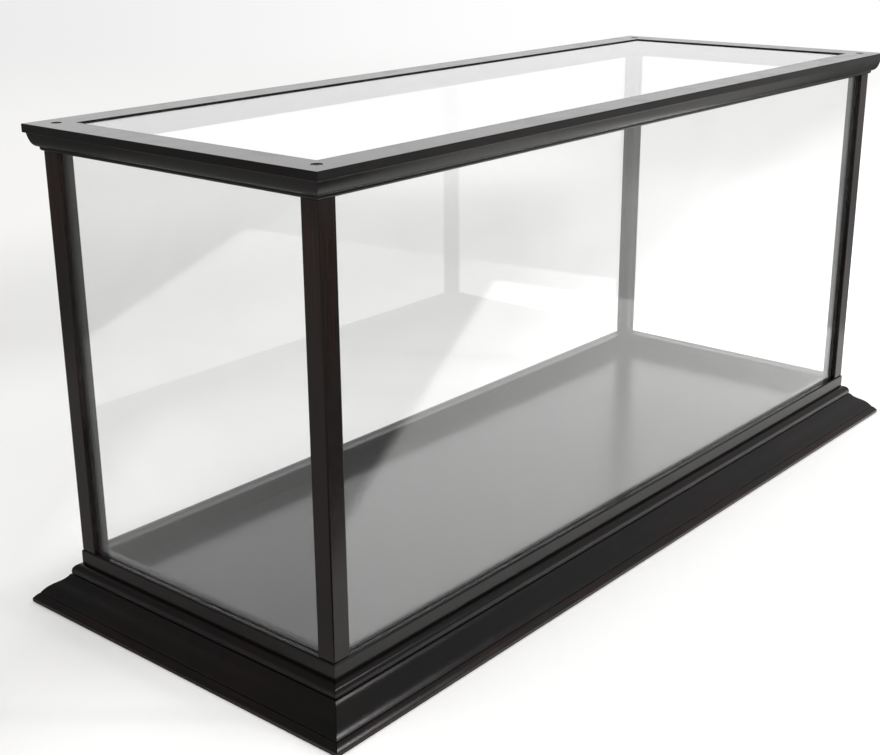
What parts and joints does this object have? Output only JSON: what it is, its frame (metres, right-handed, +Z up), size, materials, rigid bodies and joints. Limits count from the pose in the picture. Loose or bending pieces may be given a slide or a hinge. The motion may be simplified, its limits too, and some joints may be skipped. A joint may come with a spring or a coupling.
{
  "type": "model display case",
  "caption": "Table-top glazed case for a scale model: moulded dark wood plinth and crown, slim grooved corner posts, clear panes and a lift-off lid.",
  "frame": {"origin": "on the ground under the middle of the case", "axes": "+X along the length, +Y from the front to the back, +Z up"},
  "size_m": [1, 0.406, 0.4563],
  "materials": {
    "dark_wood": "near-black red-brown mahogany stain under satin lacquer",
    "clear_pane": "clear polished acrylic sheet",
    "black_board": "satin black lacquered board",
    "black_steel": "blackened steel",
    "raw_wood": "unfinished softwood"
  },
  "bodies": {
    "case": {"plinth_front": "dark_wood", "plinth_right": "dark_wood", "plinth_back": "dark_wood", "plinth_left": "dark_wood", "sill_front": "dark_wood", "sill_right": "dark_wood", "sill_back": "dark_wood", "sill_left": "dark_wood", "post_front_left": "dark_wood", "post_front_right": "dark_wood", "post_back_right": "dark_wood", "post_back_left": "dark_wood", "pane_front": "clear_pane", "pane_right": "clear_pane", "pane_back": "clear_pane", "pane_left": "clear_pane", "post_screw_front_left": "black_steel", "post_screw_front_right": "black_steel", "post_screw_back_right": "black_steel", "post_screw_back_left": "black_steel", "corner_block_front_left": "raw_wood", "corner_block_front_right": "raw_wood", "corner_block_back_right": "raw_wood", "corner_block_back_left": "raw_wood", "floor_board": "black_board"},
    "lid": {"crown_front": "dark_wood", "crown_right": "dark_wood", "crown_back": "dark_wood", "crown_left": "dark_wood", "pane_top": "clear_pane", "lid_screw_front_left": "black_steel", "lid_screw_front_right": "black_steel", "lid_screw_back_right": "black_steel", "lid_screw_back_left": "black_steel"}
  },
  "joints": [
    {"name": "lid_lift", "type": "slide", "parent": "case", "child": "lid", "axis": [0, 0, 1], "range_m": [0, 0.45]}
  ]
}
